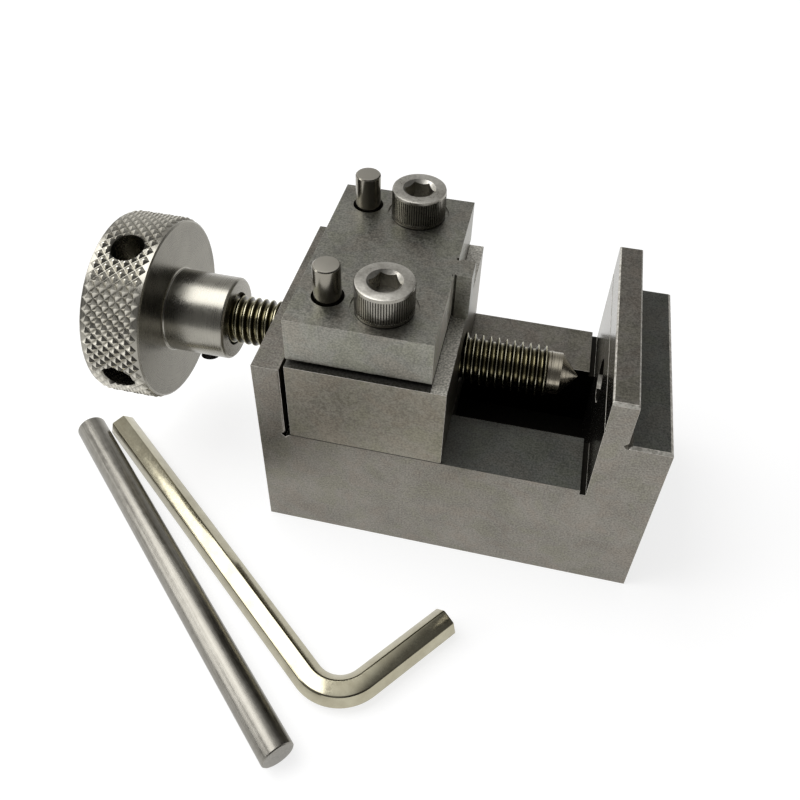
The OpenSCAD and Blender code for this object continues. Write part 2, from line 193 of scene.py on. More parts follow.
def worn_highlight_edge(name):
    """An edge broken with a stone and worn by hands, and painted bright as a highlight: light, dull
    and a little uneven every 0.5 mm."""
    material, tree, place = new_material(name)
    wear = add_node(tree, "ShaderNodeTexNoise", links={
        "Vector": place, "Scale": 2000.0, "Detail": 2.0})
    colour = add_node(tree, "ShaderNodeValToRGB", links={"Fac": wear.outputs["Fac"]})
    set_ramp(colour, [(0.35, "#b3afa6"), (0.65, "#e4e1d9")])
    shader = add_node(tree, "ShaderNodeBsdfPrincipled", links={
        "Base Color": colour.outputs["Color"], "Metallic": 1.0, "Roughness": 0.6})
    add_node(tree, "ShaderNodeOutputMaterial", links={"Surface": shader.outputs[0]})
    return material


def shade_black_milled_steel(name):
    """Milled steel painted black as shade, for the deep slot, the relief groove, the rib's hole and
    the jaw's seat and undersides, where little light reaches. The slot is never ground, and cutter
    marks 0.3 mm apart are all that shows in it."""
    material, tree, place = new_material(name)
    marks = add_node(tree, "ShaderNodeTexNoise", links={
        "Vector": place, "Scale": 3300.0, "Detail": 2.0})
    colour = add_node(tree, "ShaderNodeValToRGB", links={"Fac": marks.outputs["Fac"]})
    set_ramp(colour, [(0.35, "#1c1b18"), (0.7, "#262420")])
    shader = add_node(tree, "ShaderNodeBsdfPrincipled", links={
        "Base Color": colour.outputs["Color"], "Metallic": 1.0, "Roughness": 0.5})
    add_node(tree, "ShaderNodeOutputMaterial", links={"Surface": shader.outputs[0]})
    return material


worn_and_highlight_edge = worn_highlight_edge("worn edge of ground steel painted bright as a highlight")
base = broken_edge_copy("base_block", "ground_base_block", 0.12 * MM, [
    ground_steel("surface ground tool steel base", "#6e6b64", "#96928a", 0, 0.0), worn_and_highlight_edge,
    shade_black_milled_steel("milled slot painted black as shade"),
    ground_steel("lapped face of the fixed jaw", "#84827c", "#918f89", 0, 5.0, 0.20, 0.28),
    ground_steel("milled ledge and shoulder", "#525350", "#71726d", 0, 11.0, 0.34, 0.50)])
WORN_HIGHLIGHT, PAINTED_BLACK_SHADE, LAPPED, MILLED = 1, 2, 3, 4
base_low = Vector(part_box("base_block")[0])
ledge_z = 21.8 * MM
slot_half = 7.4 * MM
rib_x = 20.2 * MM
rib_end_x = 25.0 * MM
groove = 1.0 * MM
rib_hole_r = 3.5 * MM
rib_hole_z = 27.5 * MM
# Levels that part the slot from the block's outer faces, and the shoulder's top from the rib's
wall_middle_x = -26.5 * MM
under_slot_z = 9 * MM
over_shoulder_z = 35 * MM
# The left wall's inner front corner is broken wider than the other edges
pick(base, "EDGE", lambda edge, points: all(
    p.y < base_low.y + 0.3 * MM and base_low.x + 2 * MM < p.x < -20 * MM for p in points)
    and abs(points[0].z - points[1].z) > 8 * MM)
bpy.ops.mesh.bevel(offset=0.3 * MM, segments=1, affect="EDGES")
bpy.ops.object.mode_set(mode="OBJECT")
for face in base.data.polygons:
    middle = face.center
    # Broken edges down in the slot are painted black as shade
    if face.material_index == WORN_HIGHLIGHT:
        if (under_slot_z < middle.z < ledge_z - 0.2 * MM and abs(middle.y) < slot_half + 0.3 * MM
                and wall_middle_x < middle.x < rib_x + 0.3 * MM):
            face.material_index = PAINTED_BLACK_SHADE
        # Broken edges at the ledges' level take the darker milled colour: painted shade of the gap line
        # under the jaw
        elif (middle.x < rib_x and abs(middle.z - ledge_z) < 0.2 * MM
              and abs(middle.y) > slot_half + 1 * MM):
            face.material_index = MILLED
        continue
    # Chamfers facing up on the rib and the shoulder are painted bright as highlights
    if middle.x > rib_x - 0.1 * MM and middle.z > ledge_z and 0.5 < face.normal.z < 0.9:
        face.material_index = WORN_HIGHLIGHT
        continue
    # The slot, the relief groove and the rib's hole are painted black as shade
    in_slot = (under_slot_z < middle.z < ledge_z - 0.15 * MM
               and abs(middle.y) < slot_half + 0.05 * MM
               and wall_middle_x < middle.x < rib_x + 0.1 * MM)
    in_groove = (ledge_z - groove - 0.1 * MM < middle.z < ledge_z - 0.1 * MM
                 and rib_x - groove - 0.05 * MM < middle.x < rib_x + 0.05 * MM
                 and abs(face.normal.y) < 0.9)
    in_hole = (middle.x > rib_x and abs(face.normal.x) < 0.5
               and math.hypot(middle.y, middle.z - rib_hole_z) < rib_hole_r + 0.1 * MM)
    if in_slot or in_groove or in_hole:
        face.material_index = PAINTED_BLACK_SHADE
    elif face.normal.x < -0.9 and abs(middle.x - rib_x) < 0.3 * MM and middle.z > ledge_z:
        face.material_index = LAPPED
    elif face.normal.z > 0.9 and (
            abs(middle.z - ledge_z) < 0.1 * MM and middle.y < 0
            or middle.x > rib_end_x + 0.2 * MM and middle.z < over_shoulder_z):
        face.material_index = MILLED
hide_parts("base_block")
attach(base, "base")


# Retaining ring: a snap ring of blackened spring steel in the groove of the left wall. It
# keeps the screw's thrust collar in its seat and is hidden behind the sliding jaw.
def plain_turned_steel(name, colour, roughness):
    """Small turned or stamped steel pieces: fine tool marks 0.1 mm apart that break up the
    shine, on a dark oxide or bare metal."""
    material, tree, place = new_material(name)
    marks = add_node(tree, "ShaderNodeTexNoise", links={
        "Vector": place, "Scale": 10000.0, "Detail": 1.0})
    rough = add_node(tree, "ShaderNodeMapRange", links={
        "Value": marks.outputs["Fac"], "To Min": roughness - 0.08, "To Max": roughness + 0.08})
    shader = add_node(tree, "ShaderNodeBsdfPrincipled", links={
        "Base Color": linear(colour), "Metallic": 1.0, "Roughness": rough.outputs[0]})
    add_node(tree, "ShaderNodeOutputMaterial", links={"Surface": shader.outputs[0]})
    return material


def repaint(node, material):
    """Gives a CAD node that keeps its own mesh a better material."""
    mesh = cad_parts[node].data
    mesh.materials.clear()
    mesh.materials.append(material)


repaint("retaining_ring", plain_turned_steel("blackened spring steel ring", "#2b2a29", 0.45))


# Sliding jaw: a block of the same ground tool steel. It runs on the two ledges, its guide
# runs in the slot, and the lead screw drives it through its bore.
def shoulder_steel(name, split_x):
    """The milled top of the jaw round its plate: painted black as shade in front of the plate, and
    painted bright as a highlight in the strip to the right of it. Cutter marks 0.3 mm apart speckle both."""
    material, tree, place = new_material(name)
    marks = add_node(tree, "ShaderNodeTexNoise", links={
        "Vector": place, "Scale": 3000.0, "Detail": 2.0})
    painted_shade = add_node(tree, "ShaderNodeValToRGB", links={"Fac": marks.outputs["Fac"]})
    set_ramp(painted_shade, [(0.35, "#4a4944"), (0.65, "#66645f")])
    painted_highlight = add_node(tree, "ShaderNodeValToRGB", links={"Fac": marks.outputs["Fac"]})
    set_ramp(painted_highlight, [(0.38, "#b7b4ab"), (0.62, "#f0ede4")])
    apart = add_node(tree, "ShaderNodeSeparateXYZ", links={0: place})
    right = add_node(tree, "ShaderNodeMath", {"operation": "GREATER_THAN"}, {
        0: apart.outputs["X"], 1: split_x})
    colour = add_node(tree, "ShaderNodeMix", {"data_type": "RGBA"}, {
        0: right.outputs[0], 6: painted_shade.outputs["Color"], 7: painted_highlight.outputs["Color"]})
    shader = add_node(tree, "ShaderNodeBsdfPrincipled", links={
        "Base Color": colour.outputs[2], "Metallic": 1.0, "Roughness": 0.5})
    add_node(tree, "ShaderNodeOutputMaterial", links={"Surface": shader.outputs[0]})
    return material


plate_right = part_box("sliding_jaw")[0][0] + 21.2 * MM
jaw = broken_edge_copy("sliding_jaw", "ground_sliding_jaw", 0.12 * MM, [
    ground_steel("surface ground tool steel jaw", "#7a766c", "#989489", 0, 37.0), worn_and_highlight_edge,
    shoulder_steel("milled top of the jaw round the plate", plate_right),
    shade_black_milled_steel("jaw seat and undersides painted black as shade")])
TOP, SHADED_SEAT = 2, 3
jaw_top = 36.7 * MM
# The top round the plate carries painted shade in front of the plate and a painted highlight to its
# right; the seat under the plate and the jaw's undersides are painted black as shade
for face in jaw.data.polygons:
    middle = face.center
    if abs(middle.z - jaw_top) < 0.1 * MM and face.normal.z > 0.9:
        face.material_index = TOP
    elif middle.z > jaw_top + 0.1 * MM or face.normal.z < -0.3 and middle.z < ledge_z + 0.5 * MM:
        face.material_index = SHADED_SEAT
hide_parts("sliding_jaw")
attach(jaw, "jaw")


# Press plate: a thick ground plate screwed and pinned on the jaw. The narrow tongue at its
# right edge pushes the pin of the bracelet link.
plate = broken_edge_copy("press_plate", "ground_press_plate", 0.12 * MM, [
    ground_steel("surface ground tool steel plate", "#7d7c76", "#a2a198", 0, 71.0), worn_and_highlight_edge,
    ground_steel("cut right end of the plate painted light as a reflection", "#d3d0c7", "#f3f0e8", 1, 83.0, 0.45, 0.6)])
PAINTED_REFLECTION_END = 2
# The right end of the plate's front part is a much lighter copy of the steel: a painted reflection
for face in plate.data.polygons:
    if face.normal.x > 0.9 and abs(face.center.x - plate_right) < 0.3 * MM and face.center.y < 0:
        face.material_index = PAINTED_REFLECTION_END
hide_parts("press_plate")
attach(plate, "jaw")


# Cap screws: two M5 socket head cap screws of stainless steel that hold the plate on the jaw.
# The head is cold headed, its side knurled with fine straight ribs, its hex socket broached.
def carve(piece, tool, operation):
    """Cuts a tool out of piece, or keeps only what they share, and takes the tool away."""
    only(piece)
    carving = piece.modifiers.new("carving", "BOOLEAN")
    carving.object = tool
    carving.operation = operation
    carving.solver = "EXACT"
    bpy.ops.object.modifier_apply(modifier=carving.name)
    bpy.data.objects.remove(tool)


def make_cap_screw(name, node):
    """A socket head cap screw in the box of its CAD node."""
    low, high = (Vector(corner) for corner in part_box(node))
    head_r = (high.x - low.x) / 2
    middle = (low + high) / 2
    # A cap screw's head is 1.7 times as wide as its thread, and as high as its thread is wide
    thread_r = head_r / 1.7
    head_h = 2 * thread_r
    socket_r = 0.8 * thread_r / math.cos(math.radians(30))
    mouth_r = socket_r + 0.25 * MM
    chamfer = 0.42 * MM
    foot_h = 0.2 * MM
    ribs = 72
    rib_depth = 0.14 * MM
    seat_z = high.z - head_h
    band_low, band_high = seat_z + 0.62 * MM, high.z - chamfer - 0.12 * MM
    bpy.ops.object.select_all(action="DESELECT")
    bpy.ops.mesh.primitive_cylinder_add(
        vertices=2 * ribs, radius=head_r, depth=head_h, end_fill_type="NGON",
        location=(middle.x, middle.y, seat_z + head_h / 2))
    screw = bpy.context.object
    screw.name = screw.data.name = name
    bpy.ops.object.transform_apply(location=True, rotation=True, scale=True)
    bpy.ops.object.mode_set(mode="EDIT")
    for cut_z in (seat_z + foot_h, band_low, band_high):
        bpy.ops.mesh.select_all(action="SELECT")
        bpy.ops.mesh.bisect(plane_co=(middle.x, middle.y, cut_z), plane_no=(0, 0, 1))
    # The top edge is turned off
    pick(screw, "EDGE", lambda edge, points: all(abs(p.z - high.z) < 0.01 * MM for p in points))
    bpy.ops.mesh.bevel(offset=chamfer, segments=2, profile=0.6, affect="EDGES")
    # Every other strip of the knurled band is pushed in
    pick(screw, "FACE", lambda face, points: band_low < face.center.z < band_high
         and abs(face.normal.z) < 0.1 and round(math.atan2(
             face.center.y - middle.y, face.center.x - middle.x) / (math.pi / ribs) - 0.5) % 2 == 0)
    bpy.ops.mesh.inset(thickness=0.035 * MM, depth=-rib_depth, use_individual=True)
    bpy.ops.object.mode_set(mode="OBJECT")
    # The pushed-in strips and the foot of the head take the second material, which becomes painted shade
    # between the ribs and at the foot
    for face in screw.data.polygons:
        face.material_index = 1 if face.select or face.center.z < seat_z + foot_h else 0
    # The shank goes down from the middle of the head's underside
    pick(screw, "FACE", lambda face, points: face.normal.z < -0.9
         and face.center.z < seat_z + 0.1 * MM)
    bpy.ops.mesh.inset(thickness=head_r - thread_r)
    bpy.ops.mesh.extrude_region_move(TRANSFORM_OT_translate={"value": (0, 0, low.z - seat_z)})
    bpy.ops.object.mode_set(mode="OBJECT")
    # Broached socket and its countersunk mouth
    bpy.ops.object.select_all(action="DESELECT")
    bpy.ops.mesh.primitive_cylinder_add(
        vertices=6, radius=socket_r, depth=1.1 * head_h, location=(middle.x, middle.y, high.z),
        rotation=(0, 0, math.radians(30)))
    hexagon = bpy.context.object
    bpy.ops.object.select_all(action="DESELECT")
    bpy.ops.mesh.primitive_cone_add(
        vertices=96, radius1=mouth_r - 1.0 * MM, radius2=mouth_r + 0.1 * MM, depth=1.1 * MM,
        location=(middle.x, middle.y, high.z - 0.45 * MM))
    mouth = bpy.context.object
    for cutter in (hexagon, mouth):
        carve(screw, cutter, "DIFFERENCE")
    bpy.ops.object.shade_smooth_by_angle(angle=math.radians(24))
    return screw


def stainless(name, dark, light, low_rough, high_rough):
    """Bright stainless steel off the header or lathe: a satin shine with fine wear marks about
    0.4 mm long, and slightly duller patches 3 mm across where it was handled."""
    material, tree, place = new_material(name)
    wear = add_node(tree, "ShaderNodeTexNoise", links={
        "Vector": place, "Scale": 2500.0, "Detail": 4.0, "Roughness": 0.7})
    patch = add_node(tree, "ShaderNodeTexNoise", links={
        "Vector": place, "Scale": 350.0, "Detail": 2.0})
    mix = add_node(tree, "ShaderNodeMath", {"operation": "MULTIPLY_ADD"}, {
        0: wear.outputs["Fac"], 1: 0.5, 2: 0.0})
    mix = add_node(tree, "ShaderNodeMath", {"operation": "MULTIPLY_ADD"}, {
        0: patch.outputs["Fac"], 1: 0.5, 2: mix.outputs[0]})
    colour = add_node(tree, "ShaderNodeValToRGB", links={"Fac": mix.outputs[0]})
    set_ramp(colour, [(0.35, dark), (0.65, light)])
    rough = add_node(tree, "ShaderNodeMapRange", links={
        "Value": mix.outputs[0], "From Min": 0.3, "From Max": 0.7,
        "To Min": low_rough, "To Max": high_rough})
    bump = add_node(tree, "ShaderNodeBump", links={
        "Height": wear.outputs["Fac"], "Strength": 0.15, "Distance": 0.02 * MM})
    shader = add_node(tree, "ShaderNodeBsdfPrincipled", links={
        "Base Color": colour.outputs["Color"], "Metallic": 1.0, "Roughness": rough.outputs[0],
        "Normal": bump.outputs[0]})
    add_node(tree, "ShaderNodeOutputMaterial", links={"Surface": shader.outputs[0]})
    return material


headed_stainless = stainless("cold headed stainless steel", "#8a877f", "#aaa79e", 0.22, 0.36)
# Painted shade between the ribs and round the foot; the top and the chamfer are lighter copies of the
# steel, as painted light and a painted highlight
rib_and_foot_shade = plain_turned_steel("painted shade between the ribs and at the foot", "#45433e", 0.4)
highlight_chamfer = stainless("chamfer of the head painted bright as a highlight", "#d0cdc4", "#f2efe7", 0.2, 0.32)
lit_top = stainless("turned top of the head painted lighter as lit", "#a7a49b", "#d6d3cb", 0.24, 0.40)
for side in ("front", "rear"):
    cap_screw = make_cap_screw("knurled_cap_screw_" + side, "cap_screw_" + side)
    kinds = [face.material_index for face in cap_screw.data.polygons]
    cap_screw.data.materials.clear()
    for material in (headed_stainless, rib_and_foot_shade, lit_top, highlight_chamfer):
        cap_screw.data.materials.append(material)
    low, high = (Vector(corner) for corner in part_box("cap_screw_" + side))
    centre = (low + high) / 2
    chamfer_r = (high.x - low.x) / 2 - 0.5 * MM
    # Faces that look up are painted lighter as lit tops, and the turned-off chamfer is painted bright as
    # a highlight
    for face, kind in zip(cap_screw.data.polygons, kinds):
        turned_off = (face.center - centre).xy.length > chamfer_r and face.normal.z < 0.95
        face.material_index = kind if face.normal.z < 0.3 else 3 if turned_off else 2
    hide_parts("cap_screw_" + side)
    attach(cap_screw, "jaw")


# Dowel pins: two hardened pins, centreless ground to a mirror, pressed in the jaw. They locate
# the plate and stand up out of it, with a chamfer at each end.
def make_rod(name, low_end, high_end, radius, chamfer, sides=96):
    """A round rod between two points with chamfered ends."""
    axis = high_end - low_end
    bpy.ops.object.select_all(action="DESELECT")
    bpy.ops.mesh.primitive_cylinder_add(vertices=sides, radius=radius, depth=axis.length)
    rod = bpy.context.object
    rod.name = rod.data.name = name
    ends = axis.length / 2
    pick(rod, "EDGE", lambda edge, points: abs(points[0].z - points[1].z) < 0.01 * MM
         and abs(abs(points[0].z) - ends) < 0.01 * MM)
    bpy.ops.mesh.bevel(offset=chamfer, segments=3, profile=0.62, affect="EDGES")
    bpy.ops.object.mode_set(mode="OBJECT")
    turn = Vector((0, 0, 1)).rotation_difference(axis.normalized()).to_matrix().to_4x4()
    rod.data.transform(Matrix.Translation((low_end + high_end) / 2) @ turn)
    only(rod)
    bpy.ops.object.shade_smooth_by_angle(angle=math.radians(30))
    return rod


def centreless_ground(name, side, end):
    """Hardened pin steel, centreless ground: rings from the grinding wheel 0.08 mm apart round
    the pin, so its sides are nearly a mirror, and its ends are a little duller."""
    material, tree, place = new_material(name)
    ring_place = add_node(tree, "ShaderNodeMapping", links={
        "Vector": place, "Scale": (100.0, 100.0, 4000.0)})
    rings = add_node(tree, "ShaderNodeTexNoise", links={
        "Vector": ring_place.outputs[0], "Scale": 3.0, "Detail": 3.0, "Roughness": 0.6})
    facing = add_node(tree, "ShaderNodeNewGeometry")
    upright = add_node(tree, "ShaderNodeSeparateXYZ", links={0: facing.outputs["Normal"]})
    flat_end = add_node(tree, "ShaderNodeMath", {"operation": "GREATER_THAN"}, {
        0: upright.outputs["Z"], 1: 0.9})
    rough = add_node(tree, "ShaderNodeMath", {"operation": "MULTIPLY_ADD"}, {
        0: flat_end.outputs[0], 1: 0.18, 2: 0.13})
    rough = add_node(tree, "ShaderNodeMath", {"operation": "MULTIPLY_ADD"}, {
        0: rings.outputs["Fac"], 1: 0.14, 2: rough.outputs[0]})
    bump = add_node(tree, "ShaderNodeBump", links={
        "Height": rings.outputs["Fac"], "Strength": 0.08, "Distance": 0.01 * MM})
    colour = add_node(tree, "ShaderNodeMix", {"data_type": "RGBA"}, {
        0: flat_end.outputs[0], 6: linear(side), 7: linear(end)})
    shader = add_node(tree, "ShaderNodeBsdfPrincipled", links={
        "Base Color": colour.outputs[2], "Metallic": 1.0, "Roughness": rough.outputs[0],
        "Normal": bump.outputs[0]})
    add_node(tree, "ShaderNodeOutputMaterial", links={"Surface": shader.outputs[0]})
    return material


pin_steel = centreless_ground("centreless ground pin steel", "#8f8b81", "#aeaaa0")
for side in ("front", "rear"):
    low, high = (Vector(corner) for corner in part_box("dowel_pin_" + side))
    middle = (low + high) / 2
    pin = make_rod(
        "ground_dowel_pin_" + side, Vector((middle.x, middle.y, low.z)),
        Vector((middle.x, middle.y, high.z)), (high.x - low.x) / 2, 0.42 * MM)
    pin.data.materials.append(pin_steel)
    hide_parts("dowel_pin_" + side)
    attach(pin, "jaw")


# Lead screw: an M8 rod with a right-hand thread of 1.25 mm pitch, a plain turned dog and a cone
# point. The thread carries a thin yellowish zinc, and the dog and the point are bare steel.
def face_outwards():
    """Turns all faces of the mesh in edit mode outwards, and leaves edit mode."""
    bpy.ops.mesh.select_all(action="SELECT")
    bpy.ops.mesh.normals_make_consistent(inside=False)
    bpy.ops.object.mode_set(mode="OBJECT")


screw_low, screw_high = (Vector(corner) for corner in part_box("lead_screw"))
axis_z = (screw_low.z + screw_high.z) / 2
crest_r = (screw_high.z - screw_low.z) / 2
pitch = 1.25 * MM
# A metric thread is 0.613 of its pitch deep
root_r = crest_r - 0.613 * pitch
cone_l = 2.8 * MM
dog_l = 2.0 * MM
dog_r = 3.3 * MM
hub_x = -39.4 * MM
dog_x = screw_high.x - cone_l - dog_l
thread_start = hub_x - 2.0 * MM
thread_end = dog_x + 0.3 * MM
turns = math.ceil((thread_end - thread_start) / pitch) + 2
steps_round = 40
# One pitch of the thread's outline: half root, flank, rounded crest, flank, half root. Each
# point is a share of the pitch and a share of the thread's depth.
outline = [(0.0, 0.0), (0.10, 0.0), (0.15, 0.06), (0.43, 0.95), (0.46, 1.0),
           (0.54, 1.0), (0.57, 0.95), (0.85, 0.06), (0.90, 0.0), (1.0, 0.0)]
bpy.ops.object.select_all(action="DESELECT")
bpy.ops.mesh.primitive_plane_add(size=MM)
thread = bpy.context.object
thread.name = thread.data.name = "threaded_lead_screw"
thread.data.clear_geometry()
thread.data.from_pydata(
    [(0.0, root_r + (crest_r - root_r) * rise, pitch * along) for along, rise in outline],
    [(i, i + 1) for i in range(len(outline) - 1)], [])
only(thread)
winding = thread.modifiers.new("winding", "SCREW")
winding.axis = "Z"
winding.angle = math.radians(360)
winding.screw_offset = pitch
winding.iterations = turns
winding.steps = winding.render_steps = steps_round
winding.use_merge_vertices = True
winding.merge_threshold = 0.002 * MM
bpy.ops.object.modifier_apply(modifier=winding.name)
bpy.ops.object.mode_set(mode="EDIT")
bpy.ops.mesh.select_all(action="SELECT")
bpy.ops.mesh.remove_doubles(threshold=0.002 * MM)
# The winding's open ends are cut off square and closed
for cut_z, normal in ((1.5 * pitch, -1), ((turns - 0.5) * pitch, 1)):
    bpy.ops.mesh.select_all(action="SELECT")
    bpy.ops.mesh.bisect(
        plane_co=(0, 0, cut_z), plane_no=(0, 0, normal), clear_outer=True, use_fill=True)
face_outwards()
# The screw's own axis runs along X
lay_down = Matrix.Rotation(math.radians(90), 4, "Y")
thread.data.transform(Matrix.Translation((thread_start - 1.5 * pitch, 0, axis_z)) @ lay_down)
# The blank that the thread is cut in: its chamfer runs the thread out at the dog
bpy.ops.object.select_all(action="DESELECT")
bpy.ops.mesh.primitive_cylinder_add(
    vertices=96, radius=crest_r - 0.01 * MM, depth=thread_end - thread_start,
    location=((thread_end + thread_start) / 2, 0, axis_z), rotation=(0, math.radians(90), 0))
blank = bpy.context.object
bpy.ops.object.transform_apply(location=True, rotation=True, scale=True)
pick(blank, "EDGE", lambda edge, points: all(abs(p.x - thread_end) < 0.01 * MM for p in points))
bpy.ops.mesh.bevel(offset=0.5 * MM, segments=1, affect="EDGES")
bpy.ops.object.mode_set(mode="OBJECT")
carve(thread, blank, "INTERSECT")
# The dog starts inside the thread's end and runs on to the point
inside = 0.6 * MM
bpy.ops.object.select_all(action="DESELECT")
bpy.ops.mesh.primitive_circle_add(
    vertices=96, radius=dog_r, fill_type="NGON", location=(dog_x - inside, 0, axis_z),
    rotation=(0, math.radians(90), 0))
dog = bpy.context.object
bpy.ops.object.transform_apply(location=True, rotation=True, scale=True)
bpy.ops.object.mode_set(mode="EDIT")
bpy.ops.mesh.select_all(action="SELECT")
bpy.ops.mesh.extrude_region_move(TRANSFORM_OT_translate={"value": (dog_l + inside - 0.1 * MM, 0, 0)})
# The dog's edge is broken, and the cone ends in a small flat
for reach, shrink in ((0.12 * MM, 0.965), (cone_l * 0.93, 0.05)):
    bpy.ops.mesh.extrude_region_move(TRANSFORM_OT_translate={"value": (reach, 0, 0)})
    bpy.ops.transform.resize(value=(1, shrink, shrink), center_override=(0, 0, axis_z))
face_outwards()
# The plain shank that the knob's hub is clamped on
shank = make_rod(
    "shank", Vector((screw_low.x, 0, axis_z)), Vector((hub_x - 1.0 * MM, 0, axis_z)), crest_r,
    0.4 * MM)
bpy.ops.object.select_all(action="DESELECT")
for part in (thread, dog, shank):
    part.select_set(True)
bpy.context.view_layer.objects.active = thread
bpy.ops.object.join()
only(thread)
bpy.ops.object.shade_smooth_by_angle(angle=math.radians(40))


def zinc_plated(name):
    """Zinc with a yellow passivated finish, gone olive with oil. The crests are painted bright as
    highlights, the rounded roots lighter as painted highlights, and the flanks between them dark as
    painted shade. The dog and the cone are bare turned steel, with tool rings 0.2 mm apart."""
    material, tree, place = new_material(name)
    centred = add_node(tree, "ShaderNodeMapping", links={
        "Vector": place, "Location": (0, 0, -axis_z), "Scale": (0, 1, 1)})
    reach = add_node(tree, "ShaderNodeVectorMath", {"operation": "LENGTH"}, {0: centred.outputs[0]})
    depth = add_node(tree, "ShaderNodeMapRange", links={
        "Value": reach.outputs["Value"], "From Min": root_r, "From Max": crest_r})
    # The colour by depth paints highlights on the crests and in the roots and shade on the flanks
    zinc_light_and_shade = add_node(tree, "ShaderNodeValToRGB", links={"Fac": depth.outputs[0]})
    set_ramp(zinc_light_and_shade, [(0.0, "#7d775c"), (0.12, "#6b654b"), (0.3, "#2f2c1d"), (0.8, "#3d3927"),
                         (0.94, "#a49f86"), (1.0, "#bdb8a0")])
    apart = add_node(tree, "ShaderNodeSeparateXYZ", links={0: place})
    bare = add_node(tree, "ShaderNodeMath", {"operation": "GREATER_THAN"}, {
        0: apart.outputs["X"], 1: thread_end - 0.45 * MM})
    tool_rings = add_node(tree, "ShaderNodeMapping", links={
        "Vector": place, "Scale": (5000.0, 200.0, 200.0)})
    rings = add_node(tree, "ShaderNodeTexNoise", links={
        "Vector": tool_rings.outputs[0], "Scale": 1.0, "Detail": 2.0})
    turned = add_node(tree, "ShaderNodeValToRGB", links={"Fac": rings.outputs["Fac"]})
    set_ramp(turned, [(0.35, "#8a8477"), (0.65, "#aca595")])
    colour = add_node(tree, "ShaderNodeMix", {"data_type": "RGBA"}, {
        0: bare.outputs[0], 6: zinc_light_and_shade.outputs["Color"], 7: turned.outputs["Color"]})
    marks = add_node(tree, "ShaderNodeTexNoise", links={
        "Vector": place, "Scale": 3000.0, "Detail": 3.0})
    rough = add_node(tree, "ShaderNodeMapRange", links={
        "Value": marks.outputs["Fac"], "From Min": 0.3, "From Max": 0.7, "To Min": 0.18, "To Max": 0.32})
    shader = add_node(tree, "ShaderNodeBsdfPrincipled", links={
        "Base Color": colour.outputs[2], "Metallic": 1.0, "Roughness": rough.outputs[0]})
    add_node(tree, "ShaderNodeOutputMaterial", links={"Surface": shader.outputs[0]})
    return material


thread.data.materials.append(zinc_plated("yellow zinc plated screw steel with painted light and shade"))
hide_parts("lead_screw")
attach(thread, "screw")


# Thrust collar and its cross pin: a turned ring pinned on the screw inside the left wall, so
# that the screw turns in place. Both are hidden in the wall.
repaint("thrust_collar", plain_turned_steel("turned steel collar", "#8b8984", 0.35))
repaint("collar_pin", plain_turned_steel("drawn steel pin", "#9a9892", 0.3))


# Knob: turned from one bar of stainless steel. A diamond knurl is rolled in its rim, four holes
# for the tommy bar are drilled in the knurl, and the plain hub is bored for the screw.
knob_low, knob_high = (Vector(corner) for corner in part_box("knob"))
knob_r = (knob_high.z - knob_low.z) / 2
face_x = knob_low.x
hub_end_x = knob_high.x
rim_w = 9.7 * MM
hub_r = 6.8 * MM
bore_r = crest_r + 0.05 * MM
points_round = 52
knurl_rows = 10
knurl_depth = 0.42 * MM
outer_edge = 0.15 * MM
hub_side_bevel = 0.3 * MM
pit_r = knob_r - knurl_depth
row_w = (rim_w - outer_edge - hub_side_bevel) / knurl_rows
half_step = math.pi / points_round
band_start = face_x + outer_edge
band_end = face_x + rim_w - hub_side_bevel
bpy.ops.object.select_all(action="DESELECT")
bpy.ops.mesh.primitive_circle_add(
    vertices=points_round, radius=pit_r, location=(band_start, 0, axis_z),
    rotation=(0, math.radians(90), 0))
knob = bpy.context.object
knob.name = knob.data.name = "knurled_knob"
bpy.ops.object.transform_apply(location=True, rotation=True, scale=True)
bpy.ops.object.mode_set(mode="EDIT")
bpy.ops.mesh.select_all(action="SELECT")
for row in range(knurl_rows):
    bpy.ops.mesh.extrude_region_move(TRANSFORM_OT_translate={"value": (row_w, 0, 0)})
    bpy.ops.transform.rotate(
        value=half_step, orient_axis="X", orient_type="GLOBAL", center_override=(0, 0, axis_z))
bpy.ops.mesh.select_all(action="SELECT")
bpy.ops.mesh.quads_convert_to_tris(quad_method="SHORTEST_DIAGONAL")
face_outwards()
# Triangles that share an edge along a row are merged to diamonds, and each diamond is drawn
# up to its point
pick(knob, "EDGE", lambda edge, points: abs(points[0].x - points[1].x) < 0.01 * MM
     and band_start + 0.1 * MM < points[0].x < band_end - 0.1 * MM)
bpy.ops.mesh.dissolve_edges(use_verts=False)
pick(knob, "FACE", lambda face, points: len(points) == 4)
bpy.ops.mesh.inset(thickness=0.04 * MM, depth=0.0, use_individual=True)
bpy.ops.mesh.inset(thickness=0.50 * MM, depth=knurl_depth, use_individual=True)
bpy.ops.object.mode_set(mode="OBJECT")
